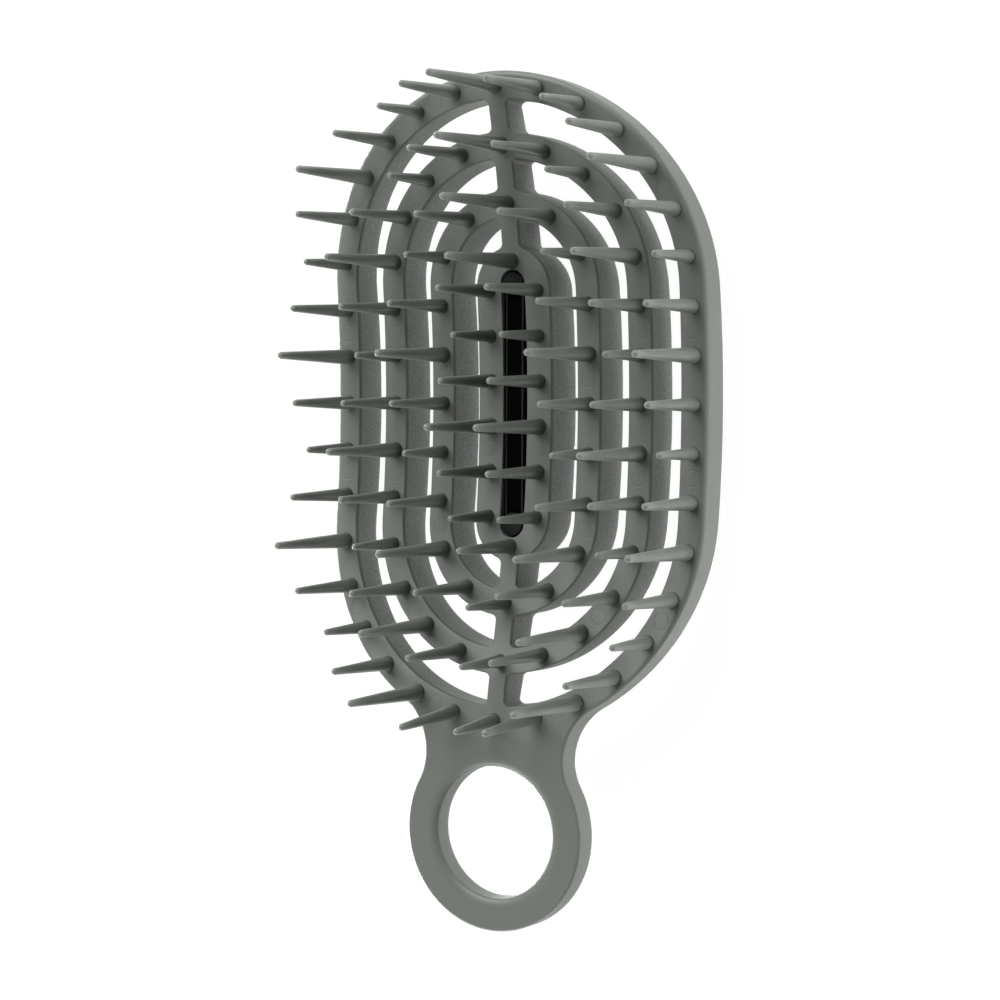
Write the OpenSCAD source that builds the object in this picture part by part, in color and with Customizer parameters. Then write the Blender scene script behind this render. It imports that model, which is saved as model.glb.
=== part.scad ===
// Vented detangling brush. Four concentric round-ended bands lie on one curved plate and are tied
// together on the long axis by short bridges. Stout tapered pins of three lengths stand on the bands.
// A short necked tail carries a round finger ring, and a dark bar fills the slot of the middle band.
// The brush lies on its back with its pins up: +Y runs along it to the head's far end, +X across it.
// The origin lies under the middle of its length and width, on the surface that it rests on.

/* [Head] */
// Width of the middle band, which the slot is in
island_w = 16.1; // [13:0.1:18]
// Length of the straight sides, from one set of end arcs to the other
straight_len = 44.2; // [38:0.2:54]
// Width of the outer ring's face
outer_band_w = 5.3; // [4.8:0.1:6]
// Width of the second and the third ring's face
band_w = 4.95; // [4.5:0.05:5.3]
// Width of the open gap round the middle band
inner_gap_w = 5.65; // [5.4:0.05:6.4]
// Width of the open gap between two rings
gap_w = 6.05; // [5.4:0.05:6.4]
// Round-over of the front's outside edges
edge_r = 1.2; // [0.6:0.1:1.8]
// Round-over of the back's outside edges
back_edge_r = 0.8; // [0.4:0.1:1.4]

/* [Plate] */
// Thickness of the plate in the middle of the head
plate_t = 10.1; // [9:0.1:11.2]
// Radius of the hollow front face along the brush
front_r = 221; // [190:1:280]
// Radius of the back along the brush
back_r = 154; // [146:1:180]
// Radius of the back's crown across the brush
crown_r = 350; // [300:5:600]
// Radius by which the front face turns back level at the tail
front_turn_r = 64; // [50:1:80]
// Radius by which the back turns back level at the tail
back_turn_r = 54; // [40:1:70]
// Steepest slope of the front face at the tail, in degrees
front_slope = 13.55; // [12:0.05:14.2]
// Steepest slope of the back at the tail, in degrees
back_slope = 20; // [18.8:0.1:20.8]

/* [Slot and insert] */
// Width of the slot in the middle band
slot_w = 5.2; // [4.6:0.1:5.6]
// Wall that the middle band leaves at each end of the slot
slot_end_wall = 4.4; // [3.6:0.1:6]
// Gap between the insert and the slot's wall
insert_clearance = 0.1; // [0.05:0.01:0.2]
// Height of the insert's flat, polished top above the middle of the face
insert_proud = 0.3; // [0.1:0.05:0.5]
// Length at each end of the slot that the insert's polished top leaves to a grained pad
insert_end_len = 3.1; // [2:0.1:4]
// Bevel along the polished top's edges
insert_bevel = 0.7; // [0.3:0.05:0.8]
// Gap round each grained end pad of the insert
insert_pad_gap = 0.4; // [0.25:0.05:0.6]
// Depth of an end pad's top below the face
insert_pad_recess = 0.15; // [0.1:0.05:0.4]
// Depth of the gap's floor below the middle of the face
insert_floor_depth = 1; // [0.6:0.1:1.6]
// Depth of the insert's underside inside the slot, above the back
insert_back_recess = 0.6; // [0.3:0.1:1.5]

/* [Bridges] */
// Width of a bridge
bridge_w = 3.8; // [3:0.1:5]
// Fillet where a bridge runs into a ring
bridge_fillet = 1; // [0.6:0.1:1.4]

/* [Tail] */
// Outer diameter of the finger ring
ring_d = 38; // [35:0.2:42]
// Diameter of the finger hole
ring_hole_d = 25.4; // [22:0.2:27]
// Width of the neck at its waist
waist_w = 30.4; // [25:0.1:34]
// Radius of the hollow sides of the neck
neck_side_r = 11.5; // [9:0.1:13]
// Round-over of the finger hole's edges
hole_edge_r = 1.2; // [0.6:0.1:1.8]

/* [Pins] */
// Length of the longest pins above the face
long_pin = 24.1; // [21:0.1:26]
// Length of the middle pins above the face
middle_pin = 19.3; // [16:0.1:20.5]
// Length of the shortest pins above the face
short_pin = 14.4; // [12:0.1:15.5]
// Diameter of a pin at its root
pin_root_d = 2.9; // [2.6:0.05:3.2]
// Diameter of a pin's round tip
pin_tip_d = 1.25; // [1.1:0.05:1.5]
// Distance that the pins are spaced by along a band, as nearly as it divides
pin_pitch = 9.17; // [8.5:0.01:10.5]
// Lean of the three pins beside the neck, towards the tail, in degrees
neck_pin_lean = 3.5; // [0:0.5:5]

/* [Hidden] */

sage = "#6f756d";
ink = "#101112";
$fn = 96;
end_steps = 36;
ring_steps = 30;
side_steps = 10;
touch_steps = 16;
round_steps = 4;
neck_steps = 8;
rim_share = 0.12;
flare_share = 0.96;
overrun = 2;

// Half widths of the band edges, from the slot outwards, which are also their end radii
arc_y = straight_len / 2;
slot_out = slot_w / 2;
island_out = island_w / 2;
third_in = island_out + inner_gap_w;
third_out = third_in + band_w;
second_in = third_out + gap_w;
second_out = second_in + band_w;
outer_in = second_out + gap_w;
outer_out = outer_in + outer_band_w;
head_w = 2 * outer_out;
slot_arc_y = arc_y + island_out - slot_end_wall - slot_out;

// The front's and the back's runs along the brush, taken from the middle of the face
front_turn_y = -front_r * sin(front_slope);
front_flat_y = -(front_r + front_turn_r) * sin(front_slope);
front_turn_z = front_r - (front_r + front_turn_r) * cos(front_slope);
back_turn_y = -back_r * sin(back_slope);
back_flat_y = -(back_r + back_turn_r) * sin(back_slope);
back_turn_z = back_r - (back_r + back_turn_r) * cos(back_slope) - plate_t;

// The neck's side arcs touch the head's end arc and the finger ring from outside
ring_r = ring_d / 2;
waist_x = waist_w / 2;
neck_side_x = waist_x + neck_side_r;
head_drop = sqrt(pow(outer_out + neck_side_r, 2) - pow(neck_side_x, 2));
ring_drop = sqrt(pow(ring_r + neck_side_r, 2) - pow(neck_side_x, 2));
waist_y = -arc_y - head_drop;
ring_y = waist_y - ring_drop;
neck_head_angle = atan2(neck_side_x, head_drop);
neck_ring_angle = atan2(neck_side_x, ring_drop);
crown_end_y = -arc_y - second_out;

// Places the plate's own frame on the resting surface, midway along the brush
tail_end_y = ring_y - ring_r;
head_end_y = arc_y + outer_out;
mid_y = (head_end_y + tail_end_y) / 2;

function run_z(y, r, turn_r, turn_y, flat_y, turn_z) =
    y > turn_y ? r - sqrt(r * r - y * y)
    : y > flat_y ? turn_z + sqrt(turn_r * turn_r - pow(y - flat_y, 2))
    : turn_z + turn_r;

function front_z(p) = run_z(p.y, front_r, front_turn_r, front_turn_y, front_flat_y, front_turn_z);

// The crown dies out along the tail, so that the finger ring's back is flat
function crown_share(y) =
    y >= crown_end_y ? 1 : y <= waist_y ? 0 : (1 + cos(180 * (crown_end_y - y) / (crown_end_y - waist_y))) / 2;

function crown_z(p) = crown_share(p.y) * (crown_r - sqrt(crown_r * crown_r - p.x * p.x));

function back_z(p) =
    run_z(p.y, back_r, back_turn_r, back_turn_y, back_flat_y, back_turn_z + plate_t)
    - plate_t + crown_z(p);

// How far a round-over has pulled a face in, at a depth measured in from the outside edge
function edge_drop(depth, r) = depth >= r ? 0 : r - sqrt(max(0, r * r - pow(r - depth, 2)));

// Depth of a point inside the brush's outside edge, on the neck, the head and the finger ring
function neck_depth(p) =
    norm([abs(p.x) - neck_side_x, p.y - waist_y]) - neck_side_r;

function head_depth(p) =
    let (from_arc = [p.x, sign(p.y) * max(0, abs(p.y) - arc_y)])
    from_arc.y < 0 && abs(atan2(p.x, -from_arc.y)) < neck_head_angle ? neck_depth(p)
    : outer_out - norm(from_arc);

function ring_depth(p) =
    p.y > ring_y && abs(atan2(p.x, p.y - ring_y)) < neck_ring_angle ? neck_depth(p)
    : ring_r - norm([p.x, p.y - ring_y]);

// A plan point lifted to the front or the back of the brush
function on_front(p, depth) = [p.x, p.y, front_z(p) - edge_drop(depth, edge_r)];
function on_back(p, depth) = [p.x, p.y, back_z(p) + edge_drop(depth, back_edge_r)];

// Steps across a band: level from its inside edge, then round to its outside edge
function band_steps(inside, outside) = concat(
    [inside],
    [for (i = [0:round_steps]) outside - edge_r * (1 - sin(90 * i / round_steps))]
);

// Directions and end-arc centres of the stations round a round-ended band, anticlockwise from the
// right. Stations crowd together where the neck's sides touch the head.
function stations() = concat(
    [for (i = [0:end_steps - 1]) [180 * i / end_steps, arc_y]],
    [for (i = [0:side_steps - 1]) [180, arc_y - straight_len * i / side_steps]],
    [for (i = [0:touch_steps - 1]) [180 + (90 - neck_head_angle) * sin(90 * i / touch_steps), -arc_y]],
    [for (i = [0:touch_steps - 1]) [270 - neck_head_angle * cos(180 * i / touch_steps), -arc_y]],
    [
        for (i = [0:touch_steps - 1])
            [270 + neck_head_angle + (90 - neck_head_angle) * (1 - cos(90 * i / touch_steps)), -arc_y]
    ],
    [for (i = [0:side_steps - 1]) [360, -arc_y + straight_len * i / side_steps]]
);

// Two triangles over four corners, and a strip of them between two equal loops of points
function quad(a, b, c, d) = [[a, b, c], [a, c, d]];
function skin(a, b, n) = [for (j = [0:n - 1]) each quad(a + j, b + j, b + (j + 1) % n, a + (j + 1) % n)];

// Loop of points over the front of a row of plan points and back under it
function band_loop(plan, depths) = concat(
    [for (i = [0:len(plan) - 1]) on_front(plan[i], depths[i])],
    [for (i = [len(plan) - 1:-1:0]) on_back(plan[i], depths[i])]
);

// Skins loops of points, and joins the last loop to the first
module closed_band(loops) {
    n = len(loops[0]);
    polyhedron(
        points = [for (loop = loops) each loop],
        faces = [for (i = [0:len(loops) - 1]) each skin(i * n, (i + 1) % len(loops) * n, n)],
        convexity = 8
    );
}

module placed() {
    translate([0, -mid_y, plate_t]) children();
}

// Round-ended band outline between two half widths
module stadium(r, y) {
    translate([0, y]) circle(r);
    translate([0, -y]) circle(r);
    square([2 * r, 2 * y], center = true);
}

module band_outline(outside, inside) {
    difference() {
        stadium(outside, arc_y);
        stadium(inside, arc_y);
    }
}

// Side view of the space above one face, with Y to the right and Z up
module space_above(r, turn_r, turn_y, flat_y, turn_z, ceiling) {
    intersection() {
        translate([0, r]) circle(r);
        translate([turn_y - overrun, -overrun])
            square([head_end_y + 2 * overrun - turn_y, ceiling + overrun]);
    }
    difference() {
        translate([tail_end_y - overrun, turn_z]) square([turn_y - tail_end_y + overrun, ceiling - turn_z]);
        translate([flat_y, turn_z]) circle(turn_r);
        translate([tail_end_y - overrun, turn_z])
            square([flat_y - tail_end_y + overrun, turn_r]);
    }
}

module across(width) {
    rotate([90, 0, 90]) translate([0, 0, -width / 2]) linear_extrude(width) children();
}

module above_front(width) {
    across(width)
        space_above(front_r, front_turn_r, front_turn_y, front_flat_y, front_turn_z,
            long_pin + plate_t + overrun);
}

module above_back(width) {
    translate([0, 0, -plate_t])
        across(width)
            space_above(back_r, back_turn_r, back_turn_y, back_flat_y, back_turn_z + plate_t,
                2 * plate_t + overrun);
}

// Barrel whose skin is the head's back: round along the brush, with a shallow crown across it
module crowned_back() {
    translate([0, 0, back_r - plate_t])
        rotate([0, 90, 0])
            rotate_extrude($fn = 4 * $fn)
                intersection() {
                    translate([back_r - crown_r, 0]) circle(crown_r, $fn = 8 * $fn);
                    translate([0, -head_w / 2]) square([back_r, head_w]);
                }
}

// Part of the head's plate that stands on a plan outline
module head_plate() {
    difference() {
        intersection() {
            crowned_back();
            translate([0, 0, -plate_t - overrun])
                linear_extrude(2 * (plate_t + overrun)) children();
        }
        above_front(head_w + overrun);
    }
}

module outer_ring() {
    color(sage) placed()
        closed_band([
            for (s = stations())
                let (
                    plan = [
                        for (d = band_steps(outer_in, outer_out))
                            [d * cos(s[0]), s[1] + d * sin(s[0])]
                    ]
                )
                band_loop(plan, [for (p = plan) head_depth(p)])
        ]);
}

module second_ring() {
    color(sage) placed() head_plate() band_outline(second_out, second_in);
}

module third_ring() {
    color(sage) placed() head_plate() band_outline(third_out, third_in);
}

module centre_island() {
    color(sage) placed() head_plate()
        difference() {
            stadium(island_out, arc_y);
            stadium(slot_out, slot_arc_y);
        }
}

// Flare that fills the corner between a bridge's side and a band's end arc
module bridge_corner(arc_r, outwards) {
    x = bridge_w / 2 + bridge_fillet;
    reach = arc_r + outwards * bridge_fillet;
    y = sqrt(reach * reach - x * x);
    flare = (x * arc_r / reach - bridge_w / 2) * flare_share;
    difference() {
        translate([0, min(y, y - outwards * 2 * bridge_fillet)])
            square([bridge_w / 2 + flare, 2 * bridge_fillet]);
        translate([x, y]) circle(bridge_fillet);
    }
}

// Bridge between the end arcs of two neighbouring bands, at the head's far end
module bridge_outline(outside, inside) {
    translate([0, arc_y])
        difference() {
            intersection() {
                union() {
                    translate([-bridge_w / 2, 0]) square([bridge_w, outside + overrun]);
                    for (side = [0, 1]) mirror([side, 0]) {
                        bridge_corner(outside, -1);
                        bridge_corner(inside, 1);
                    }
                }
                circle(outside);
            }
            circle(inside);
        }
}

module plate_bar() {
    difference() {
        intersection() {
            above_back(head_w);
            translate([0, 0, -plate_t - overrun])
                linear_extrude(3 * (plate_t + overrun)) children();
        }
        above_front(head_w + overrun);
    }
}

module top_bridge(outside, inside) {
    color(sage) placed() plate_bar() bridge_outline(outside, inside);
}

module bottom_bridge(outside, inside) {
    color(sage) placed() plate_bar() mirror([0, 1]) bridge_outline(outside, inside);
}

// Point on the right-hand side arc of the tail: the head's touch point at 0, the waist at 1,
// and the finger ring's touch point at 2
function side_point(v) =
    let (
        to_head = atan2(head_drop, neck_side_x),
        to_ring = atan2(ring_drop, neck_side_x),
        a = 180 - (v < 1 ? to_head * (1 - v) : -to_ring * (v - 1))
    )
    [neck_side_x + neck_side_r * cos(a), waist_y + neck_side_r * sin(a)];

// Blend of the neck's borders: u runs across from -1 to 1, and v from the head's end arc to the waist
function neck_plan(u, v) =
    let (
        side = side_point(v),
        corner = side_point(0),
        top = [outer_out * sin(neck_head_angle * u), -arc_y - outer_out * cos(neck_head_angle * u)],
        bottom = [waist_x * u, waist_y]
    )
    (1 - v) * top + v * bottom + [u * side.x, side.y]
    - (1 - v) * [u * corner.x, corner.y] - v * bottom;

// Steps across the neck from its left side at -1 to its right side at 1, close in the round-overs
function neck_across() =
    let (rim = [for (i = [0:round_steps]) rim_share * (1 - cos(90 * i / round_steps))])
    concat(
        [for (r = rim) r - 1],
        [for (i = [1:neck_steps - 1]) (1 - rim_share) * (2 * i / neck_steps - 1)],
        [for (i = [round_steps:-1:0]) 1 - rim[i]]
    );

module neck() {
    us = neck_across();
    n = 2 * len(us);
    far = neck_steps * n;
    color(sage) placed()
        polyhedron(
            points = [
                for (j = [0:neck_steps])
                    let (plan = [for (u = us) neck_plan(u, 1 - j / neck_steps)])
                    each band_loop(plan, [for (p = plan) neck_depth(p)])
            ],
            faces = concat(
                [for (i = [0:neck_steps - 1]) each skin(i * n, (i + 1) * n, n)],
                [for (j = [0:n / 2 - 2]) each quad(j, j + 1, n - 2 - j, n - 1 - j)],
                [for (j = [0:n / 2 - 2]) each quad(far + j, far + n - 1 - j, far + n - 2 - j, far + j + 1)]
            ),
            convexity = 6
        );
}

// Round bore with rounded mouths, cut through the flat of the finger ring
module finger_hole() {
    hole_r = ring_hole_d / 2;
    top = front_turn_z + front_turn_r;
    low = back_turn_z + back_turn_r;
    translate([0, ring_y])
        rotate_extrude()
            difference() {
                translate([0, low - overrun]) square([hole_r + hole_edge_r, top - low + 2 * overrun]);
                translate([hole_r, low + hole_edge_r])
                    square([hole_edge_r + overrun, top - low - 2 * hole_edge_r]);
                for (z = [low + hole_edge_r, top - hole_edge_r])
                    translate([hole_r + hole_edge_r, z]) circle(hole_edge_r);
            }
}

// Outside border of the finger ring: the waist, a side arc, the ring and the other side arc
function ring_border() =
    let (
        waist = [for (u = neck_across()) [-waist_x * u, waist_y]],
        side = [for (i = [1:neck_steps - 1]) side_point(1 + i / neck_steps)],
        turn = 180 - neck_ring_angle
    )
    concat(
        waist,
        [for (p = side) [-p.x, p.y]],
        [
            for (i = [0:2 * ring_steps])
                let (a = turn * (i / ring_steps - 1))
                [ring_r * sin(a), ring_y - ring_r * cos(a)]
        ],
        [for (i = [len(side) - 1:-1:0]) side[i]]
    );

module finger_ring() {
    core_r = ring_hole_d / 2 - overrun;
    color(sage) placed()
        difference() {
            closed_band([
                for (p = ring_border())
                    let (
                        out = p - [0, ring_y],
                        plan = [
                            for (d = band_steps(core_r, norm(out)))
                                [0, ring_y] + out * d / norm(out)
                        ]
                    )
                    band_loop(plan, [for (q = plan) ring_depth(q)])
            ]);
            finger_hole();
        }
}

// Round-ended cone that runs on below the face by its root
module pin(pin_len) {
    tip_r = pin_tip_d / 2;
    root = 2 * edge_r;
    cone_len = pin_len - tip_r;
    slope = (pin_root_d / 2 - tip_r) / cone_len;
    translate([0, 0, -root]) cylinder(cone_len + root, pin_root_d / 2 + slope * root, tip_r, $fn = 32);
    translate([0, 0, cone_len]) sphere(tip_r, $fn = 32);
}

// Place of the k-th of n pins, equally spaced round a band's middle line from the far end
function pin_place(k, n, r) =
    let (
        quarter = PI * r / 2,
        s = (4 * quarter + 2 * straight_len) * k / n,
        half = 2 * quarter + straight_len,
        t = s > half ? 2 * half - s : s,
        x_side = s > half ? 1 : -1
    )
    t <= quarter ? [x_side * r * sin(t / r * 180 / PI), arc_y + r * cos(t / r * 180 / PI)]
    : t <= quarter + straight_len ? [x_side * r, arc_y - (t - quarter)]
    : let (a = (t - quarter - straight_len) / r * 180 / PI)
        [x_side * r * cos(a), -arc_y - r * sin(a)];

// Pins of a band: their lengths run long, middle, short, middle from the far end down each side
module pins(outside, inside, lean_pins) {
    r = (outside + inside) / 2;
    n = 2 * round((2 * PI * r + 2 * straight_len) / (2 * pin_pitch));
    lengths = [long_pin, middle_pin, short_pin, middle_pin];
    color(sage) placed()
        for (k = [0:n - 1])
            let (p = pin_place(k, n, r))
            intersection() {
                translate([p.x, p.y, front_z(p)])
                    rotate([abs(k - n / 2) < lean_pins ? neck_pin_lean : 0, 0, 0])
                        pin(lengths[min(k, n - k) % len(lengths)]);
                above_front(head_w + overrun);
            }
}

module centre_insert() {
    half_w = slot_out - insert_clearance;
    bar_end = slot_arc_y + slot_out - insert_end_len;
    pad_top = front_z([0, slot_arc_y]) - insert_pad_recess;
    color(ink) placed()
        intersection() {
            translate([0, 0, insert_back_recess]) crowned_back();
            union() {
                translate([0, 0, -plate_t])
                    linear_extrude(plate_t - insert_floor_depth) stadium(half_w, slot_arc_y);
                for (y = [-slot_arc_y, slot_arc_y])
                    translate([0, y, -plate_t])
                        cylinder(plate_t + pad_top, slot_out - insert_pad_gap, slot_out - insert_pad_gap);
                rotate([90, 0, 0]) translate([0, 0, -bar_end])
                    linear_extrude(2 * bar_end)
                        polygon([
                            [-half_w, -plate_t],
                            [half_w, -plate_t],
                            [half_w, insert_proud - insert_bevel],
                            [half_w - insert_bevel, insert_proud],
                            [insert_bevel - half_w, insert_proud],
                            [-half_w, insert_proud - insert_bevel]
                        ]);
            }
        }
}

outer_ring();
second_ring();
third_ring();
centre_island();
top_bridge(outer_in, second_out);  // top_outer_bridge
top_bridge(second_in, third_out);  // top_middle_bridge
top_bridge(third_in, island_out);  // top_inner_bridge
bottom_bridge(third_in, island_out);  // bottom_inner_bridge
bottom_bridge(second_in, third_out);  // bottom_middle_bridge
bottom_bridge(outer_in, second_out);  // bottom_outer_bridge
neck();
finger_ring();
pins(outer_out, outer_in, 2);  // outer_pins
pins(second_out, second_in, 0);  // second_pins
pins(third_out, third_in, 0);  // third_pins
pins(island_out, slot_out, 0);  // centre_pins
centre_insert();
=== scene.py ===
"""Vented detangling brush, dressed for a studio picture.

Every plate piece is a closed grid of points: a section that runs over the front, down a wall,
back under the brush and up the other wall, carried round the piece's outline. Each point also
keeps the grain, the painted shade line along the front's edges, and the painted shade at a
pin's root and painted highlight at its tip, which its material shows there.
"""

import math

import bpy
import numpy as np
from bpy.props import FloatProperty, FloatVectorProperty, PointerProperty
from mathutils import Matrix, Vector


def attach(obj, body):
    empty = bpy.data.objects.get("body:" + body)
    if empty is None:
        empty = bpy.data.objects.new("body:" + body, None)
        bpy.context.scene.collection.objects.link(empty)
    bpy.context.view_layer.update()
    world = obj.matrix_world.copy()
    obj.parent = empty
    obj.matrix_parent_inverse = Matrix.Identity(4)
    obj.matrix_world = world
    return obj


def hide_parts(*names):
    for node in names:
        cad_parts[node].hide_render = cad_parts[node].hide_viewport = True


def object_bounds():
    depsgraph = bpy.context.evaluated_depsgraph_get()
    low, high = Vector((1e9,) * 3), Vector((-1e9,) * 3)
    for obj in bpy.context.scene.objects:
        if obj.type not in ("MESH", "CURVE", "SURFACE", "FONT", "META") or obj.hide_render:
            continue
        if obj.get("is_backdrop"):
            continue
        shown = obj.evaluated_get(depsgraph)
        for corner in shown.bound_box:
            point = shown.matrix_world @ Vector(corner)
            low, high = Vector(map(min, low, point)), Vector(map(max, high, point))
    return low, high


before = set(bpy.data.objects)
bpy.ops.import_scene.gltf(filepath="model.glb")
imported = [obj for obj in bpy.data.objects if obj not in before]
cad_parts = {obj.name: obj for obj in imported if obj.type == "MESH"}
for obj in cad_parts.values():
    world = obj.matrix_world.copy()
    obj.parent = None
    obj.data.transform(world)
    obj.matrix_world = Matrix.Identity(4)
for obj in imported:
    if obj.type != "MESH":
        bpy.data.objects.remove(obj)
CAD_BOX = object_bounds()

bl_info = {
    "name": "Vented detangling brush",
    "version": (1, 0, 0),
    "blender": (4, 5, 0),
    "location": "View3D > Sidebar > Brush",
    "description": "Builds a vented detangling brush with a finger ring, and a studio round it",
    "category": "Object",
}

MM = 0.001
# Millimetres from an ejector mark past which an offset isn't followed any further.
MARK_REACH = 40.0
NO_MARK = (MARK_REACH, MARK_REACH)
# Degrees between two faces past which their edge isn't smoothed.
SHARP_EDGE = 38.0
# Steps of a fine broken edge, of the outside round-over and of the finger hole's.
FINE_STEPS, EDGE_STEPS, HOLE_STEPS = 4, 12, 8
# How deep the grain is on the outside walls of the head and the tail, as shares of a gap's.
HEAD_WALL_GRAIN, TAIL_WALL_GRAIN = 0.3, 0.35


def number(name, description, default, low, high, **kind):
    """A number that the panel shows."""
    return FloatProperty(
        name=name, description=description, default=default, min=low, max=high, **kind
    )


def size(name, description, default, high=1.0):
    """A length in metres, from a default in millimetres."""
    kind = {"unit": "LENGTH", "subtype": "DISTANCE", "precision": 5}
    return number(name, description, default * MM, 0.0, high, **kind)


def angle(name, description, default, low=-180.0, high=180.0):
    """An angle in radians, from a default and limits in degrees."""
    return number(name, description, *map(math.radians, (default, low, high)), unit="ROTATION")


def share(name, description, default):
    """A number from 0 to 1."""
    return number(name, description, default, 0.0, 1.0, subtype="FACTOR")


def watts(name, description, default):
    """The power of a lamp."""
    return number(name, description, default, 0.0, 200.0, unit="POWER")


def colour(name, description, default):
    """A linear red, green and blue colour."""
    return FloatVectorProperty(
        name=name, description=description, default=default, min=0.0, max=1.0, size=3,
        subtype="COLOR",
    )


def three_sizes(name, description, default):
    """A length in metres for the long, the middle and the short pins, from millimetres."""
    return FloatVectorProperty(
        name=name, description=description, default=[d * MM for d in default], min=0.0, size=3,
        unit="LENGTH", precision=5,
    )


class BrushPlateSizes(bpy.types.PropertyGroup):
    """Sizes of the curved plate and its bands."""

    island_w: size("Middle band width", "Width of the middle band, which the slot is in", 16.1)
    straight_len: size("Straight length", "Length of the straight sides", 44.2)
    outer_band_w: size("Outer band width", "Width of the outer ring's face", 5.3)
    band_w: size("Band width", "Width of the second and third ring's face", 4.95)
    inner_gap_w: size("Inner gap", "Width of the open gap round the middle band", 5.65)
    gap_w: size("Gap width", "Width of the open gap between two rings", 6.05)
    edge_r: size("Outside round-over", "Front round-over of the outside edges", 1.2)
    back_edge_r: size("Back round-over", "Back round-over of the outside edges", 0.8)
    gap_back_r: size("Gap back edge", "Round-over of the back edges along the gaps", 0.45)
    fine_r: size("Fine edge", "Broken edge of the face along the gaps", 0.22)
    plate_t: size("Plate thickness", "Thickness in the middle of the head", 10.1)
    front_r: size("Front radius", "Radius of the hollow front along the brush", 221.0)
    back_r: size("Back radius", "Radius of the back along the brush", 154.0)
    crown_r: size("Crown radius", "Radius of the back's crown across the brush", 350.0)
    front_turn_r: size("Front turn", "Radius that turns the front level at the tail", 64.0)
    back_turn_r: size("Back turn", "Radius that turns the back level at the tail", 54.0)
    front_slope: angle("Front slope", "Steepest slope of the front at the tail", 13.55, 6, 22)
    back_slope: angle("Back slope", "Steepest slope of the back at the tail", 20.0, 6, 22)
    slot_w: size("Slot width", "Width of the slot in the middle band", 5.2)
    slot_end_wall: size("Slot end wall", "Wall left at each end of the slot", 4.4)
    bridge_w: size("Bridge width", "Width of a bridge", 3.8)
    bridge_fillet: size("Bridge fillet", "Fillet where a bridge meets a ring", 1.0)


class BrushTailSizes(bpy.types.PropertyGroup):
    """Sizes of the neck and the finger ring."""

    ring_d: size("Ring diameter", "Outer diameter of the finger ring", 38.0)
    ring_hole_d: size("Finger hole", "Diameter of the finger hole", 25.4)
    waist_w: size("Waist width", "Width of the neck at its waist", 30.4)
    neck_side_r: size("Neck side radius", "Radius of the hollow sides of the neck", 11.5)
    hole_edge_r: size("Hole round-over", "Round-over of the finger hole in front", 2.0)
    hole_edge_drop: size("Hole edge drop", "Depth of the finger hole's front round-over", 0.9)
    hole_back_r: size("Hole back edge", "Round-over of the finger hole behind", 1.2)
    ring_edge_r: size("Ring edge", "Round-over of the ring's outside edge in front", 0.4)


class BrushPinSizes(bpy.types.PropertyGroup):
    """Sizes of the pins."""

    length: three_sizes("Lengths", "Long, middle and short pins above the face", (24.1, 19.3, 14.4))
    root_d: three_sizes("Root diameters", "Long, middle and short pins at the root", (3.1, 2.8, 2.56))
    tip_d: three_sizes("Tip diameters", "Long, middle and short pins' round tips", (1.4, 1.35, 1.28))
    root_fillet: size("Root fillet", "Small fillet where a pin meets the face", 0.12)
    pitch: size("Pin pitch", "Distance between pins along a band", 9.17)
    lean: angle("Lean by the neck", "Lean of the three pins beside the neck", 3.5, 0, 11)
    mark_d: size("Ejector mark", "Diameter of the faint round ejector marks", 3.0)


class BrushInsertSizes(bpy.types.PropertyGroup):
    """Sizes of the dark bar in the slot."""

    clearance: size("Clearance", "Gap between the insert and the slot's wall", 0.1)
    proud: size("Height", "Height of the polished top above the middle of the face", 0.3)
    end_len: size("End length", "Length that the polished top leaves to a grained pad", 3.1)
    bevel: size("Bevel", "Bevel along the polished top's edges", 0.7)
    bevel_edge_r: size("Bevel edge", "Rounding between the bevel and the top", 0.36)
    pad_gap: size("Pad gap", "Gap round each grained pad", 0.4)
    pad_recess: size("Pad recess", "Depth of a pad's top below the face", 0.15)
    floor_depth: size("Floor depth", "Depth of the gap's floor below the face", 1.0)
    back_recess: size("Back recess", "Depth of the underside inside the slot", 0.85)


class BrushLooks(bpy.types.PropertyGroup):
    """Colours and finish."""

    sage: colour("Sage plastic", "Colour of the moulded brush", (0.151, 0.167, 0.145))
    # Painted shade along a gap's edge, standing in for the shade of a fine step that the mesh lacks;
    # the faint ejector rings take this colour too.
    line: colour("Edge line", "Colour in the fine step along a gap's edge", (0.07, 0.078, 0.07))
    ink: colour("Insert", "Colour of the polished insert", (0.0012, 0.0012, 0.0013))
    # Painted highlight along the insert's rounded bevel edges, where light would glint.
    painted_highlight: colour("Insert edges", "Colour of the insert's rubbed edges", (0.04, 0.04, 0.042))
    pad: colour("Insert pads", "Colour of the insert's grained pads", (0.034, 0.034, 0.035))
    face_rough: share("Face roughness", "Roughness of the faces", 0.42)
    wall_rough: share("Wall roughness", "Roughness of the grained walls", 0.62)
    grain: share("Wall grain", "Depth of the grain on the walls", 0.4)
    floor: colour("Floor", "Colour of the studio floor", (0.9, 0.9, 0.9))


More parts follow.
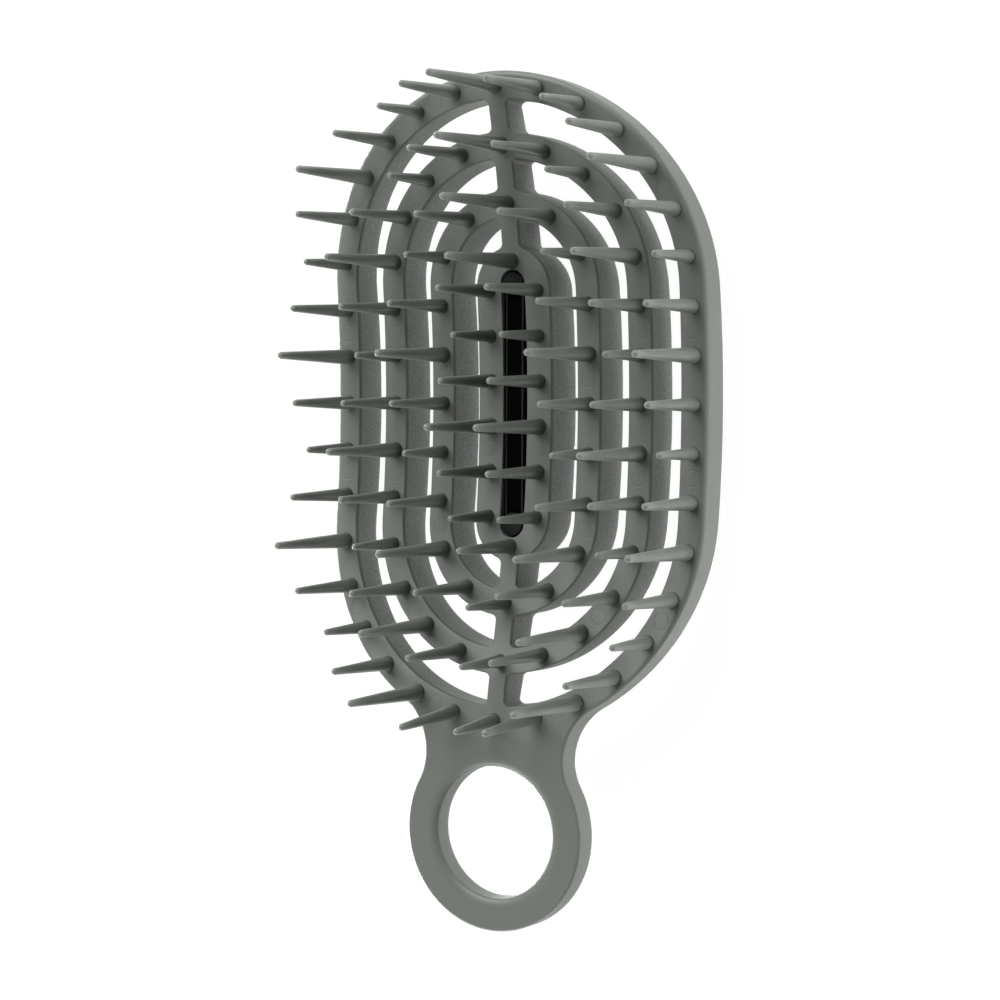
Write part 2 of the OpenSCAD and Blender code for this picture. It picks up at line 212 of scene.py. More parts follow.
class BrushStageSizes(bpy.types.PropertyGroup):
    """Camera and lamps."""

    lens: number("Lens", "Focal length of the camera", 100.26, 20.0, 300.0, unit="CAMERA")
    azimuth: angle("Azimuth", "Turn of the camera to the brush's right", 30.37)
    elevation: angle("Elevation", "Turn of the camera to the brush's far end", 2.17)
    roll: angle("Roll", "Roll of the picture", 0.228)
    distance: size("Distance", "Distance of the camera", 537.0, high=5.0)
    shift_x: size("Sideways", "Offset of the brush across the picture", 2.91)
    shift_y: size("Upwards", "Offset of the brush up the picture", 18.53)
    far: watts("Far lamp", "Lamp high past the far end, on the left", 9.9)
    near: watts("Near lamp", "Lamp low past the tail, on the left", 7.6)
    right: watts("Right lamp", "Lamp level with the brush, on the right", 3.6)
    far_right: watts("Far right lamp", "Lamp low past the far end, on the right", 2.4)
    near_right: watts("Near right lamp", "Lamp low past the tail, on the right", 1.0)
    under: watts("Under lamp", "Lamp straight below", 2.8)
    left_edge: watts("Left edge lamp", "Lamp below on the left", 14.2)
    fill: share("Fill", "Strength of the even light from all round", 0.0)


GROUPS = (
    ("brush_plate", BrushPlateSizes),
    ("brush_tail", BrushTailSizes),
    ("brush_pins", BrushPinSizes),
    ("brush_insert", BrushInsertSizes),
    ("brush_looks", BrushLooks),
    ("brush_stage", BrushStageSizes),
)


class Plate:
    """The plate's levels and outlines, in its own frame: the middle of the head's face is at 0,
    and the front faces up. ``placed`` moves points to where the CAD model lies."""

    def __init__(self, scene):
        s, t = scene.brush_plate, scene.brush_tail
        self.s, self.t = s, t
        self.arc_y = s.straight_len / 2
        self.slot_out = s.slot_w / 2
        self.island_out = s.island_w / 2
        third_in = self.island_out + s.inner_gap_w
        third_out = third_in + s.band_w
        second_in = third_out + s.gap_w
        second_out = second_in + s.band_w
        outer_in = second_out + s.gap_w
        self.outer_out = outer_in + s.outer_band_w
        self.bands = {
            "outer": (outer_in, self.outer_out),
            "second": (second_in, second_out),
            "third": (third_in, third_out),
            "centre": (self.slot_out, self.island_out),
        }
        self.gaps = {
            "outer": (second_out, outer_in),
            "middle": (third_out, second_in),
            "inner": (self.island_out, third_in),
        }
        self.slot_arc_y = self.arc_y + self.island_out - s.slot_end_wall - self.slot_out
        self.front = self.run(s.front_r, s.front_turn_r, s.front_slope, 0.0)
        self.back = self.run(s.back_r, s.back_turn_r, s.back_slope, s.plate_t)
        self.ring_r = t.ring_d / 2
        self.waist_x = t.waist_w / 2
        self.side_x = self.waist_x + t.neck_side_r
        self.head_drop = math.sqrt((self.outer_out + t.neck_side_r) ** 2 - self.side_x**2)
        self.ring_drop = math.sqrt((self.ring_r + t.neck_side_r) ** 2 - self.side_x**2)
        self.waist_y = -self.arc_y - self.head_drop
        self.ring_y = self.waist_y - self.ring_drop
        self.head_angle = math.atan2(self.side_x, self.head_drop)
        self.ring_angle = math.atan2(self.side_x, self.ring_drop)
        self.crown_end_y = -self.arc_y - second_out
        self.mid_y = (self.arc_y + self.outer_out + self.ring_y - self.ring_r) / 2

    @staticmethod
    def run(r, turn_r, slope, drop):
        """One face's run along the brush: a wide hollow arc of radius r as far as the slope, and
        an arc of radius turn_r the other way, which turns it level. It gives both radii, where
        along the brush each arc ends, the turn's middle height and the drop of the face."""
        turn_y, flat_y = -r * math.sin(slope), -(r + turn_r) * math.sin(slope)
        return r, turn_r, turn_y, flat_y, r - (r + turn_r) * math.cos(slope), drop

    @staticmethod
    def level(y, run):
        """Height of a face: that of a circle of radius r over y on the wide arc, of one of
        radius turn_r over y - flat_y on the turn, and level past that."""
        r, turn_r, turn_y, flat_y, turn_z, drop = run
        arc = r - np.sqrt(np.maximum(r * r - y * y, 0.0))
        turn = turn_z + np.sqrt(np.maximum(turn_r**2 - (y - flat_y) ** 2, 0.0))
        return np.where(y > turn_y, arc, np.where(y > flat_y, turn, turn_z + turn_r)) - drop

    def front_z(self, x, y):
        """Height of the front: it bends along the brush only."""
        return self.level(y, self.front)

    def back_z(self, x, y):
        """Height of the back: the same kind of run, and a shallow crown that ends at the waist."""
        t = np.clip((self.crown_end_y - y) / (self.crown_end_y - self.waist_y), 0.0, 1.0)
        crown = self.s.crown_r - np.sqrt(self.s.crown_r**2 - x * x)
        return self.level(y, self.back) + (1 + np.cos(np.pi * t)) / 2 * crown

    def heights(self, x, y, top, down, drop, rise):
        """Heights of a section: the front less its round-over's drop, or the back plus its rise,
        and from there down or up the wall."""
        return np.where(top, self.front_z(x, y) - drop - down, self.back_z(x, y) + rise + down)

    def neck_depth(self, x, y):
        """Depth inside the neck's hollow side arcs."""
        return np.hypot(np.abs(x) - self.side_x, y - self.waist_y) - self.t.neck_side_r

    def head_depth(self, x, y):
        """Depth inside the brush's outside outline, for a point of the outer ring."""
        dy = np.sign(y) * np.maximum(np.abs(y) - self.arc_y, 0.0)
        at_neck = (dy < 0) & (np.abs(np.arctan2(x, -dy)) < self.head_angle)
        return np.where(at_neck, self.neck_depth(x, y), self.outer_out - np.hypot(x, dy))

    def ring_depth(self, x, y):
        """Depth inside the outside outline, for a point of the finger ring."""
        at_neck = (y > self.ring_y) & (np.abs(np.arctan2(x, y - self.ring_y)) < self.ring_angle)
        return np.where(
            at_neck, self.neck_depth(x, y), self.ring_r - np.hypot(x, y - self.ring_y)
        )

    def edge_r(self, y):
        """Front round-over of the outside edge. It narrows evenly from the head's, where the
        tail's arc starts, to the ring's at the waist."""
        past = fade_past(-self.arc_y - y, 0.0, -self.arc_y - self.waist_y)
        return self.s.edge_r + (self.t.ring_edge_r - self.s.edge_r) * past

    def placed(self, points):
        """Points moved so that the brush's middle is at 0 and its back rests on the floor."""
        return points + np.array([0.0, -self.mid_y, self.s.plate_t])


def chain(*parts, axis=0):
    """Arrays one after the other."""
    return np.concatenate(parts, axis)


def stacked(*values):
    """Points from their coordinates, which are stretched to one shape."""
    return np.stack(np.broadcast_arrays(*values), -1)


def right_angle(n):
    """Angles from 0 to 90 degrees, in n equal steps."""
    return np.linspace(0, np.pi / 2, n + 1)


def round_drop(depth, radius):
    """How far a quarter-round edge lies below its face, at a depth in from the outside."""
    radius = np.maximum(radius, 1e-9)
    inside = np.clip(depth / radius, 0.0, 1.0)
    return radius * (1 - np.sqrt(np.maximum(1 - (1 - inside) ** 2, 0.0)))


def quarter(n):
    """Depths along a quarter-round edge as shares of its radius, evenly spaced in angle."""
    return 1 - np.cos(right_angle(n))


def grid_faces(rows, cols, closed=True):
    """Quads over a grid of points, with one section loop to a row. A closed grid joins its last
    loop to its first. An open one gets a cap at each end: the two halves of a loop face each
    other, so a cap's quads run straight across it."""
    i = np.arange(rows if closed else rows - 1)[:, None]
    j = np.arange(cols)[None, :]
    up, along = (i + 1) % rows, (j + 1) % cols
    quads = stacked(i * cols + j, up * cols + j, up * cols + along, i * cols + along)
    quads = quads.reshape(-1, 4)
    if closed:
        return quads
    j = np.arange(cols // 2 - 1)
    cap = stacked(j, j + 1, cols - 2 - j, cols - 1 - j)
    return chain(quads, cap, cap[:, ::-1] + (rows - 1) * cols)


def outward(points, quads):
    """Turns all faces round if the closed mesh they make is inside out: its volume, summed
    over the tetrahedra from the origin, is then negative."""
    a, b, c, d = (points[quads[:, k]] for k in range(4))
    volume = np.einsum("ij,ij->", a, np.cross(b, c)) + np.einsum("ij,ij->", a, np.cross(c, d))
    return quads if volume > 0 else quads[:, ::-1]


def new_object(name, data):
    """Puts a mesh, a lamp or a camera into the scene."""
    made = bpy.data.objects.new(name, data)
    bpy.context.scene.collection.objects.link(made)
    return made


def make_piece(node, plate, points, quads, material, tints, marks=NO_MARK):
    """Puts arrays of points and faces into a mesh, seats the piece on the brush, and lets it
    stand for the CAD node. ``tints`` are each point's grain, painted shade along the edges, and
    painted shade at a pin's root and highlight at its tip, and ``marks`` its offset from the
    nearest ejector mark."""
    name = f"{node}_moulding"
    tints = np.broadcast_to(tints, points.shape)
    points = plate.placed(points)
    flat = points.reshape(-1, 3)
    mesh = bpy.data.meshes.new(name)
    mesh.from_pydata(flat, [], outward(flat, quads))
    tint = mesh.attributes.new("tint", "FLOAT_VECTOR", "POINT")
    tint.data.foreach_set("vector", tints.astype(np.float32).ravel())
    if marks is not None:
        uv = mesh.uv_layers.new(name="marks")
        corners = np.zeros(len(mesh.loops), np.int32)
        mesh.loops.foreach_get("vertex_index", corners)
        marks = np.broadcast_to(marks, (*points.shape[:-1], 2)).reshape(-1, 2)
        uv.data.foreach_set("uv", marks[corners].astype(np.float32).ravel())
    mesh.polygons.foreach_set("use_smooth", np.ones(len(mesh.polygons), bool))
    mesh.set_sharp_from_angle(angle=math.radians(SHARP_EDGE))
    mesh.materials.append(material)
    piece = new_object(name, mesh)
    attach(piece, "root")
    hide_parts(node)


class Section:
    """A section loop through a plate piece: up the inner wall, over the front, down the outer
    wall and back underneath. ``share`` is the place across, ``top`` tells the front half,
    and ``down`` is how far a wall point lies from the edge above or below it."""

    WALL = np.array([0.1, 0.3, 0.55, 0.95]) * MM
    STRIP = 0.12 * MM
    # How far in from the edge, and how far and how strongly down the wall, the painted shade line
    # reaches.
    PAINTED_SHADE_ACROSS = 0.24 * MM
    PAINTED_SHADE_DOWN = np.array([0.0, 0.3, 0.55, 0.95]) * MM, (1.0, 1.0, 0.5, 0.0)

    def __init__(self, width, front, back, steps=(FINE_STEPS, FINE_STEPS), level=9):
        """``front`` and ``back`` each hold the round-over of the inner and the outer edge."""
        wall, strip = self.WALL, self.STRIP

        def half(left, right):
            a, b = quarter(steps[0]) * left, width - quarter(steps[1])[::-1] * right
            flat = np.linspace(a[-1] + 3 * strip, b[0] - 3 * strip, level)
            flat = chain([a[-1] + strip], flat, [b[0] - strip])
            across = chain(0 * wall, a, flat, b, 0 * wall + width)
            down = chain(wall[::-1], 0 * a, 0 * flat, 0 * b, wall)
            return across, down

        (top, top_down), (low, low_down) = half(*front), half(*back)
        self.share = chain(top, low[::-1]) / width
        self.down = chain(top_down, low_down[::-1])
        self.top = np.arange(self.share.size) < top.size

    @classmethod
    def grain(cls, down, depth):
        """Grain of the walls: none at an edge, and all of it a little way down."""
        return depth * np.clip(down / cls.WALL[1], 0, 1)

    def tints(self, depth_in, depth_out, edge_shade_in, edge_shade_out, outer_grain=1.0):
        """Grain on the walls, and a fine line of painted shade along the front's edges, which fades
        both in from the edge and down the wall."""
        line = np.maximum(
            edge_shade_in * np.clip(1 - depth_in / self.PAINTED_SHADE_ACROSS, 0, 1),
            edge_shade_out * np.clip(1 - depth_out / self.PAINTED_SHADE_ACROSS, 0, 1),
        ) * np.interp(self.down, *self.PAINTED_SHADE_DOWN) * self.top
        grain = self.grain(self.down, np.where(depth_in < depth_out, 1.0, outer_grain))
        return stacked(grain, line, 0)


def fade_past(distance, start, over):
    """0 before start, 1 past start + over, and straight between."""
    return np.clip((distance - start) / over, 0.0, 1.0)


def nearest_marks(x, y, centres):
    """Offset of each point, in millimetres, from the nearest ejector mark."""
    dx, dy = x[..., None] - centres[:, 0], y[..., None] - centres[:, 1]
    near = np.argmin(dx * dx + dy * dy, -1)[..., None]
    offset = [np.take_along_axis(dx, near, -1), np.take_along_axis(dy, near, -1)]
    return np.clip(chain(*offset, axis=-1) / MM, -MARK_REACH, MARK_REACH)


def pin_place(k, n, r, straight):
    """Plan place of the k-th of n pins spaced equally round a band's middle line, from the far
    end. k may be a fraction."""
    k = np.asarray(k, float)
    quarter_len, around = np.pi * r / 2, 2 * np.pi * r + 2 * straight
    s = around * k / n
    t = np.where(s > around / 2, around - s, s)
    side = np.where(s > around / 2, 1.0, -1.0)
    a, b = t / r, (t - quarter_len - straight) / r
    on_far, on_side = t <= quarter_len, t <= quarter_len + straight
    x = np.where(on_far, r * np.sin(a), np.where(on_side, r, r * np.cos(b)))
    y = np.where(
        on_far, straight / 2 + r * np.cos(a),
        np.where(on_side, straight / 2 - (t - quarter_len), -straight / 2 - r * np.sin(b)),
    )
    return stacked(side * x, y)


def pin_count(r, straight, pitch):
    """The even number of pins whose spacing round a band comes nearest to the pitch."""
    return 2 * round((2 * math.pi * r + 2 * straight) / (2 * pitch))


def band_marks(plate, band, first, pitch):
    """Ejector marks stand midway between pins, three steps apart, the same on both sides."""
    r = sum(band) / 2
    n = pin_count(r, plate.s.straight_len, pitch)
    k = np.arange(first, n / 2, 3.0)
    return pin_place(chain(k, n - k), n, r, plate.s.straight_len)


def neck_stations(plate):
    """Turns in degrees of the outer ring's sections that meet the neck's rows, and of those on
    both sides of the neck, closer together towards it."""
    touch = math.degrees(plate.head_angle)
    far = (90 - touch) * np.cos(right_angle(23))
    return chain(270 + touch * neck_across(), 180 + far, 360 - far)


# Half of the stretch on each side of a bridge whose sections stand closer together.
BRIDGE_STRETCH = 4.4 * MM
# Length over which a round-over dies out before a bridge.
FADE = 0.5 * MM
# Metres that stand for a place with no edge or bridge near it.
FAR_OFF = 1.0


def band_piece(plate, name, kind, material, first_mark, pitch):
    """A round-ended band. A section is carried round the stadium: at each station it lies on
    the line between the inner and the outer outline, and its heights follow the plate."""
    s, arc_y = plate.s, plate.arc_y
    inside, outside = plate.bands[kind]
    outermost, slotted = kind == "outer", kind == "centre"
    outer_r = s.edge_r if outermost else s.fine_r
    under_r = s.back_edge_r if outermost else s.gap_back_r
    section = Section(
        outside - inside, (s.fine_r, outer_r), (s.gap_back_r, under_r),
        (FINE_STEPS, EDGE_STEPS if outermost else FINE_STEPS),
    )
    spread = math.degrees(math.asin(min(0.95, BRIDGE_STRETCH / inside)))
    turn = chain(np.linspace(0, 180, 97), 90 + np.linspace(-spread, spread, 41))
    turn = np.unique(turn.round(5))
    extra = neck_stations(plate) if outermost else []
    lower = np.unique(chain(turn + 180, extra).round(5))
    side = np.linspace(0, 1, 25)[1:-1]
    around = np.radians(chain(turn, 180 + 0 * side, lower, 360 + 0 * side))
    centre = chain(
        arc_y + 0 * turn, arc_y * (1 - 2 * side), -arc_y + 0 * lower, arc_y * (2 * side - 1)
    )
    way = stacked(np.cos(around), np.sin(around))
    lift = stacked(0, centre)
    inner = way * inside + lift * (plate.slot_arc_y / arc_y if slotted else 1.0)
    outer = way * outside + lift
    plan = inner[:, None] + (outer - inner)[:, None] * section.share[None, :, None]
    x, y = plan[..., 0], plan[..., 1]
    width = np.linalg.norm(outer - inner, axis=-1)[:, None]
    depth_in = section.share * width
    depth_out = plate.head_depth(x, y) if outermost else (1 - section.share) * width
    on_side = np.where(np.abs(outer[:, 1:]) > arc_y, 0.0, FAR_OFF)
    reach = s.bridge_w / 2 + s.bridge_fillet - FADE
    by_bridge = lambda outline: fade_past(np.abs(outline[:, :1]) + on_side, reach, FADE)
    fade_in = 1.0 if slotted else by_bridge(inner)
    fade_out = 1.0 if outermost else by_bridge(outer)
    edge_r = plate.edge_r(y) if outermost else outer_r
    drop = round_drop(depth_in, s.fine_r * fade_in) + round_drop(depth_out, edge_r * fade_out)
    rise = round_drop(depth_in, s.gap_back_r * fade_in)
    rise = rise + round_drop(depth_out, under_r * fade_out)
    z = plate.heights(x, y, section.top, section.down, drop, rise)
    # Grain on the walls, and painted shade along the front's edges, left off the slot's and the
    # outside edge.
    tints = section.tints(
        depth_in, depth_out, 0.0 if slotted else fade_in, 0.0 if outermost else fade_out,
        HEAD_WALL_GRAIN if outermost else 1.0,
    )
    marks = nearest_marks(x, y, band_marks(plate, (inside, outside), first_mark, pitch))
    marks = np.where(section.top[:, None], marks, NO_MARK)
    make_piece(name, plate, stacked(x, y, z), grid_faces(*x.shape), material, tints, marks)


def bridge_side(plate, inside, outside):
    """Right-hand outline of a bridge, from the inner band's arc to the outer band's: a fillet
    that leaves the arc along its tangent, the straight side, and the second fillet."""
    half, f = plate.s.bridge_w / 2, plate.s.bridge_fillet
    x = half + f
    y_in, y_out = math.sqrt((inside + f) ** 2 - x * x), math.sqrt((outside - f) ** 2 - x * x)
    low = np.linspace(math.atan2(-y_in, -x), -math.pi, 10)
    high = np.linspace(math.pi, math.atan2(y_out, x), 10)
    first = stacked(x + f * np.cos(low), y_in + f * np.sin(low))
    last = stacked(x + f * np.cos(high), y_out + f * np.sin(high))
    middle = stacked(half, np.linspace(y_in, y_out, 10)[1:-1])
    return chain(first, middle, last)


def bridge_piece(plate, name, inside, outside, end, material):
    """A bridge between two bands. Its rows run across it, bent to the two bands' arcs at its
    ends and blended between them, and its long edges are broken by a fine quarter-round."""
    s = plate.s
    side = bridge_side(plate, inside, outside)
    section = Section(s.bridge_w, (s.fine_r, s.fine_r), (s.gap_back_r, s.gap_back_r), level=5)
    u = 2 * section.share - 1
    half = side[:, :1]
    arc = lambda r, x: np.sqrt(r * r - x * x)
    v = (side[:, 1:] - arc(inside, half)) / (arc(outside, half) - arc(inside, half))
    x = half * u
    y = end * (plate.arc_y + arc(inside, x) * (1 - v) + arc(outside, x) * v)
    depth = half * (1 - np.abs(u))
    fade = fade_past(np.minimum(v, 1 - v) * (outside - inside), 0.1 * MM, 0.6 * MM)
    drop, rise = round_drop(depth, s.fine_r * fade), round_drop(depth, s.gap_back_r * fade)
    z = plate.heights(x, y, section.top, section.down, drop, rise)
    left = np.where(section.share < 0.5, depth, FAR_OFF)
    right = np.where(section.share < 0.5, FAR_OFF, depth)
    quads = grid_faces(*x.shape, closed=False)
    # Painted shade along both long edges of the face, fading out towards the bands.
    tints = section.tints(left, right, fade, fade)
    make_piece(name, plate, stacked(x, y, z), quads, material, tints)


def neck_across():
    """Places across the neck from -1 to 1, close together in the two round-overs."""
    rim = 0.14
    edge = rim * quarter(13)
    middle = np.linspace(rim - 1, 1 - rim, 25)[1:-1]
    return chain(edge - 1, middle, 1 - edge[::-1])


def side_point(plate, v):
    """The tail's right side arc: the head's touch point at 0, the waist at 1 and the finger
    ring's touch point at 2."""
    v = np.asarray(v, float)
    to_head = math.atan2(plate.head_drop, plate.side_x)
    to_ring = math.atan2(plate.ring_drop, plate.side_x)
    a = np.pi - np.where(v < 1, to_head * (1 - v), -to_ring * (v - 1))
    r = plate.t.neck_side_r
    return plate.side_x + r * np.cos(a), plate.waist_y + r * np.sin(a)


def tail_surface(plate, x, y, depth, top, down):
    """Points of the tail's front and back, each with its round-over, and down the wall, with
    the tints there: grained walls and no dark line."""
    drop, rise = round_drop(depth, plate.edge_r(y)), round_drop(depth, plate.s.back_edge_r)
    z = plate.heights(x, y, top, down, drop, rise)
    return stacked(x, y, z), stacked(Section.grain(down, TAIL_WALL_GRAIN), 0, 0)


def neck_piece(plate, name, material):
    """The neck: straight rows between the two hollow sides, to which the bulge of the head's
    end arc is added, less of it towards the waist. Each row is closed over the front and back
    under it."""
    u = neck_across()
    v = np.linspace(0, 1, 41)[::-1, None] ** 1.3
    side_x, side_y = side_point(plate, v)
    touch_x, touch_y = side_point(plate, 0.0)
    a = plate.head_angle * u
    top_x, top_y = plate.outer_out * np.sin(a), -plate.arc_y - plate.outer_out * np.cos(a)
    low_x = plate.waist_x * u
    x = (1 - v) * top_x + v * low_x + u * side_x - (1 - v) * u * touch_x - v * low_x
    y = (1 - v) * top_y + v * plate.waist_y + side_y - (1 - v) * touch_y - v * plate.waist_y
    wall = Section.WALL
    first, last = np.zeros(wall.size, int), np.full(wall.size, u.size - 1)
    cols = chain(first, np.arange(u.size), last)
    down = chain(wall[::-1], 0 * u, wall)
    top = np.arange(2 * cols.size) < cols.size
    cols, down = chain(cols, cols[::-1]), chain(down, down[::-1])
    x, y = x[:, cols], y[:, cols]
    points, tints = tail_surface(plate, x, y, plate.neck_depth(x, y), top, down)
    make_piece(name, plate, points, grid_faces(*x.shape, closed=False), material, tints)


def finger_ring_piece(plate, name, material):
    """The finger ring: a section from the hole's wall to the outside border, carried round the
    border, which is the waist line, the two side arcs and the ring's own arc. The hole's edge
    is a quarter-ellipse in front and a quarter-round behind."""
    s, t = plate.s, plate.t
    u = neck_across()
    vx, vy = side_point(plate, np.linspace(1, 2, 22)[1:-1])
    turn = np.linspace(-1, 1, 181) * (np.pi - plate.ring_angle)
    border = chain(
        stacked(-plate.waist_x * u, plate.waist_y),
        stacked(-vx, vy),
        stacked(plate.ring_r * np.sin(turn), plate.ring_y - plate.ring_r * np.cos(turn)),
        stacked(vx[::-1], vy[::-1]),
    )
    middle = np.array([0.0, plate.ring_y])
    hole = t.ring_hole_d / 2
    reach = np.linalg.norm(border - middle, axis=-1)[:, None]
    way = (border - middle) / reach
    wall = Section.WALL

    def half(round_in, round_out):
        mouth = hole + quarter(HOLE_STEPS) * round_in
        room = reach - mouth[-1]
        rim = quarter(EDGE_STEPS)[::-1] * np.minimum(round_out, 0.7 * room)
        low, high = mouth[-1] + 0.06 * room, reach - rim[:, :1] - 0.06 * room
        level = low + (high - low) * np.linspace(0, 1, 8)
        rows = [hole + 0 * wall + 0 * reach, mouth + 0 * reach, level, reach - rim, reach + 0 * wall]
        d = chain(*rows, axis=1)
        return d, chain(wall[::-1], np.zeros(d.shape[1] - 2 * wall.size), wall)

    over, over_down = half(t.hole_edge_r, s.edge_r)
    under, under_down = half(t.hole_back_r, s.back_edge_r)
    d = chain(over, under[:, ::-1], axis=1)
    down = chain(over_down, under_down[::-1])
    top = np.arange(d.shape[1]) < over.shape[1]
    x, y = way[:, :1] * d, middle[1] + way[:, 1:] * d
    points, tints = tail_surface(plate, x, y, plate.ring_depth(x, y), top, down)
    flat = t.hole_edge_drop / t.hole_edge_r
    points[..., 2] -= flat * round_drop(d - hole, np.where(top, t.hole_edge_r, 0.0))
    points[..., 2] += round_drop(d - hole, np.where(top, 0.0, t.hole_back_r))
    make_piece(name, plate, points, grid_faces(*x.shape), material, tints)


# Heights above the face in millimetres, and how dark the corner shade on a pin is there.
DEEP_SHADE = (0.1, 0.5, 1.6, 3.2, 6.0), (0.85, 0.6, 0.3, 0.2, 0.0)
THIN_SHADE = (0.05, 0.6), (0.85, 0.0)
# Millimetres below the top of a pin, and how much a painted highlight lightens its tip there.
PAINTED_TIP_HIGHLIGHT = (0.0, 0.3, 0.6, 1.4, 2.5, 4.5), (0.25, 0.5, 0.55, 0.5, 0.26, 0.0)
# Places up a pin's taper as shares of it, and the number of its sides.
TAPER = np.array([0.015, 0.03, 0.06, 0.12, 0.2, 0.3, 0.55, 0.78, 0.87, 0.93, 0.97])[:, None]
PIN_SIDES = 28
# Heights in millimetres between which a pin's rings turn from the slope of the face to level.
FOLLOW = 0.2, 1.4


def pins_piece(plate, sizes, kind, material):
    """The pins of one band: long, middle, short and middle in turn down each side. A pin is a
    profile of radius against height turned about its axis: a fine root fillet, a straight taper
    and a round tip. Its root follows the curved face."""
    r, straight = sum(plate.bands[kind]) / 2, plate.s.straight_len
    n = pin_count(r, straight, sizes.pitch)
    k = np.arange(n)
    place = pin_place(k, n, r, straight)
    order = np.array([0, 1, 2, 1])[np.minimum(k, n - k) % 4]
    by_length = lambda values: np.array(values)[order][:, None, None]
    length, root_d, tip_d = map(by_length, (sizes.length, sizes.root_d, sizes.tip_d))
    root_r, tip_r = root_d / 2, tip_d / 2
    leaning = (np.abs(k - n / 2) < 2) & (kind == "outer")
    lean = np.where(leaning, sizes.lean, 0.0)[:, None, None]
    cone, f = length - tip_r, sizes.root_fillet
    a, b = right_angle(8)[:, None], right_angle(4)[:, None]
    sunk, sunk_r = np.array([[-0.6], [-0.3]]) * MM, np.array([[0.02], [1.0]])
    height = chain(
        sunk + 0 * cone, f * (1 - np.cos(b)) + 0 * cone, TAPER * cone,
        cone + tip_r * np.sin(a), axis=1,
    )
    radius = chain(
        sunk_r * (root_r * 0.9), root_r + f * (1 - np.sin(b)),
        root_r + (tip_r - root_r) * TAPER, np.maximum(tip_r * np.cos(a), 1e-6), axis=1,
    )
    spin = np.linspace(0, 2 * np.pi, PIN_SIDES + 1)[:-1]
    x, y = radius * np.cos(spin), radius * np.sin(spin)
    foot_x, foot_y = place[:, 0, None, None], place[:, 1, None, None]
    foot = plate.front_z(foot_x, foot_y)
    follow = 1 - fade_past(height, FOLLOW[0] * MM, FOLLOW[1] * MM)
    z = height * np.cos(lean) + y * np.sin(lean)
    y = y * np.cos(lean) - height * np.sin(lean)
    z = z * (1 - follow) + height * follow
    slope = plate.front_z(foot_x + x, foot_y + y) - foot
    points = stacked(foot_x + x, foot_y + y, foot + z + slope * follow)
    rows, cols = points.shape[1:3]
    one = grid_faces(rows, cols, closed=False)
    quads = (one[None] + np.arange(n)[:, None, None] * rows * cols).reshape(-1, 4)
    # Painted shade round a pin's root, less a painted highlight near its tip, in one tint.
    shade = np.interp(height / MM, *(THIN_SHADE if kind == "outer" else DEEP_SHADE))
    shade = shade - np.interp((length - height) / MM, *PAINTED_TIP_HIGHLIGHT)
    make_piece(f"{kind}_pins", plate, points, quads, material, stacked(0, 0, shade))


def joined(parts):
    """Joins several grids of points, their faces and their tints into one."""
    points, quads, tints, start = [], [], [], 0
    for p, q, t in parts:
        p = p.reshape(-1, 3)
        points.append(p)
        quads.append(outward(p, q) + start)
        tints.append(np.broadcast_to(np.asarray(t, float), (len(p), 3)))
        start += len(p)
    return chain(*points), chain(*quads), chain(*tints)


def turned(profile, middle_y, reach=0.0, steps=64):
    """A profile of (radius, height) turned about an upright axis, with both ends closed. With a
    reach, its far half moves that far out and its near half as far back, which makes a long
    round-ended form."""
    spin = np.linspace(0, 2 * np.pi, steps + 1)[:-1]
    r, h = profile[:, :1], profile[:, 1:]
    y = middle_y + np.where(np.sin(spin) >= -1e-9, reach, -reach)
    points = stacked(r * np.cos(spin), y + r * np.sin(spin), h)
    return points, grid_faces(*points.shape[:2], closed=False)


